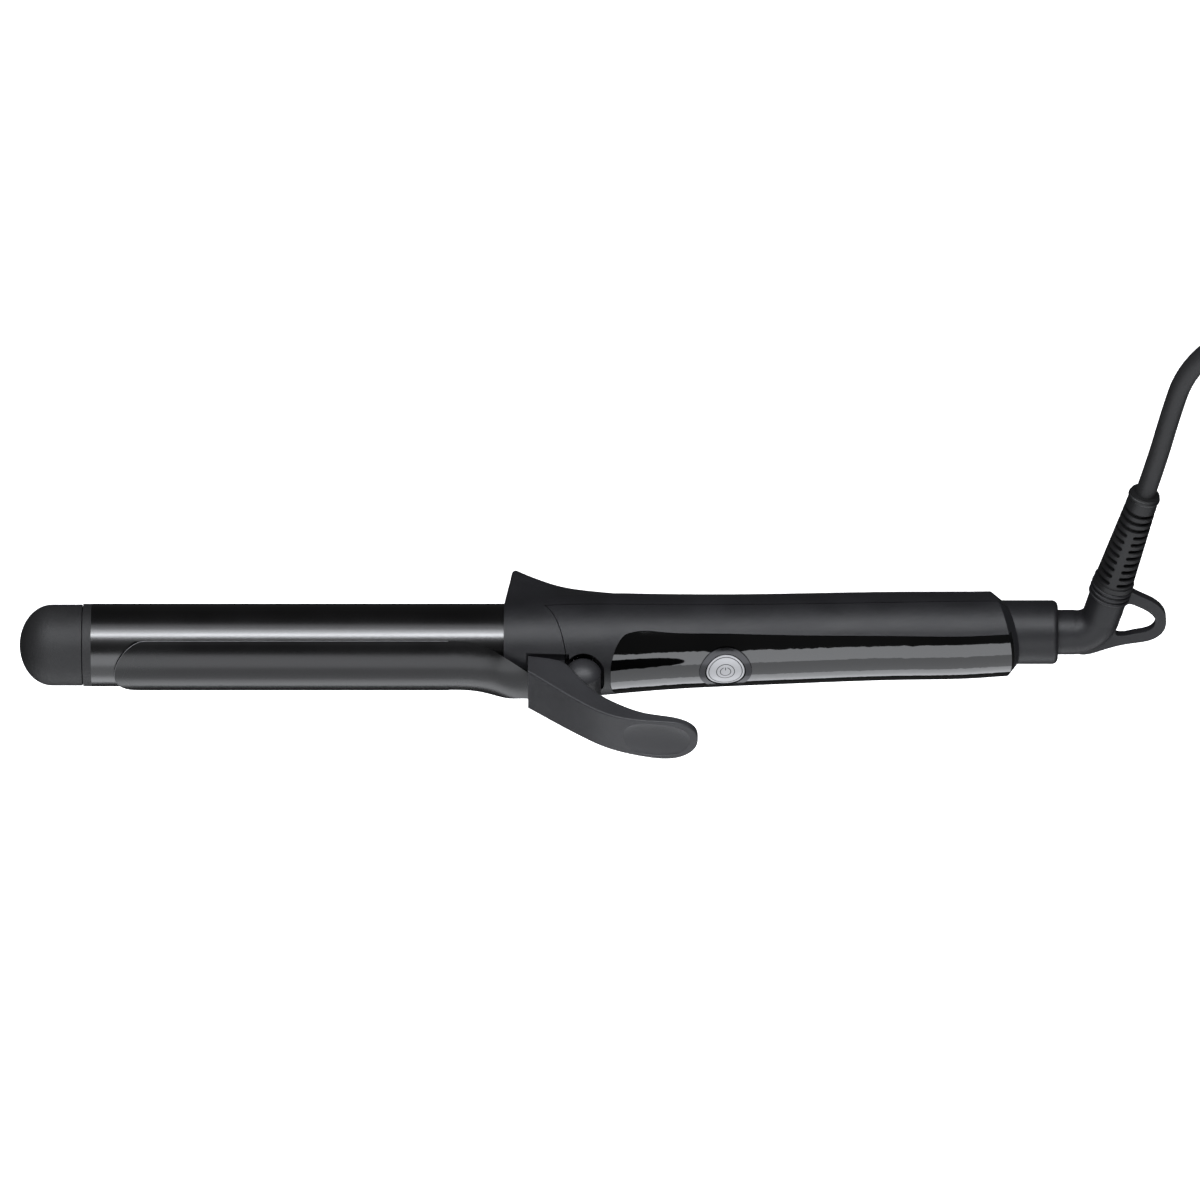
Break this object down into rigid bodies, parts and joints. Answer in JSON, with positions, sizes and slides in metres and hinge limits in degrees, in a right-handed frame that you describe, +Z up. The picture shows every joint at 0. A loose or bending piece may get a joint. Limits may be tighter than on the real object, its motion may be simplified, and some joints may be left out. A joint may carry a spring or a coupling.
{
  "type": "curling iron",
  "caption": "Black curling iron with a round heated barrel, a spring clip with a curved thumb lever, a heel stand, a handle with a glossy inlay and a swivelling cord.",
  "frame": {"origin": "middle of the heel's flat, on the surface the iron lies on", "axes": "+X runs from the tip towards the cord, +Z is up on the lever's side, +Y is the side the cord leaves by"},
  "size_m": [0.5017, 0.1516, 0.0644],
  "materials": {
    "coated_barrel": "gloss black ceramic coating on aluminium",
    "coated_clip": "gloss black coating on spring steel",
    "cool_tip": "fine matte texture",
    "handle_plastic": "soft matte black",
    "lever_plastic": "soft matte black",
    "gloss_inlay": "polished black",
    "button_metal": "satin silver plating",
    "inner_plastic": "moulded heat-resistant plastic",
    "ceramic": "ceramic heater strip",
    "spreader_metal": "extruded aluminium",
    "steel": "zinc plated steel",
    "brass": "plain brass",
    "board": "green circuit board",
    "wire_cover": "glass-fibre sleeve",
    "cord_rubber": "matte black flexible sheath",
    "relief_rubber": "matte black moulded sleeve",
    "plated_pin": "nickel plated brass",
    "tie": "soft black strap"
  },
  "bodies": {
    "root": {"barrel": "coated_barrel", "tip_ring": "cool_tip", "tip_cap": "cool_tip", "heat_spreader_upper": "spreader_metal", "heat_spreader_lower": "spreader_metal", "heating_element": "ceramic", "barrel_mount": "inner_plastic", "lead_wires": "wire_cover", "thermal_fuse": "spreader_metal", "hinge_bracket": "steel", "pivot_pin": "steel", "clip_spring": "steel", "gloss_panel": "gloss_inlay", "front_shell": "handle_plastic", "heel_shell": "handle_plastic", "handle_screws": "steel", "button_bezel": "gloss_inlay", "power_switch": "inner_plastic", "circuit_board": "board", "board_screws": "steel", "tail_collar": "handle_plastic", "contact_brushes": "brass", "cord_coil": "cord_rubber", "cord_tie": "tie", "plug_body": "cord_rubber", "plug_pins": "plated_pin"},
    "clip": {"clip": "coated_clip", "lever": "lever_plastic", "clip_rivets": "steel"},
    "button": {"power_button": "button_metal"},
    "swivel": {"swivel_elbow": "handle_plastic", "slip_rings": "brass", "strain_relief": "relief_rubber", "cord": "cord_rubber"}
  },
  "joints": [
    {"name": "clip_hinge", "type": "hinge", "parent": "root", "child": "clip", "pos_m": [0.02035, 0, 0.03841], "axis": [0, 1, 0], "range_deg": [0, 30], "stiffness_Nm_per_rad": 0.12, "springref_deg": -45.84},
    {"name": "button_press", "type": "slide", "parent": "root", "child": "button", "axis": [-0.0296, 0, -0.9996], "range_m": [0, 0.0012], "stiffness_N_per_m": 200, "springref_m": -0.002},
    {"name": "cord_swivel", "type": "hinge", "parent": "root", "child": "swivel", "pos_m": [0.16541, 0, 0.0115], "axis": [0.9996, 0, -0.0296], "continuous": true}
  ]
}
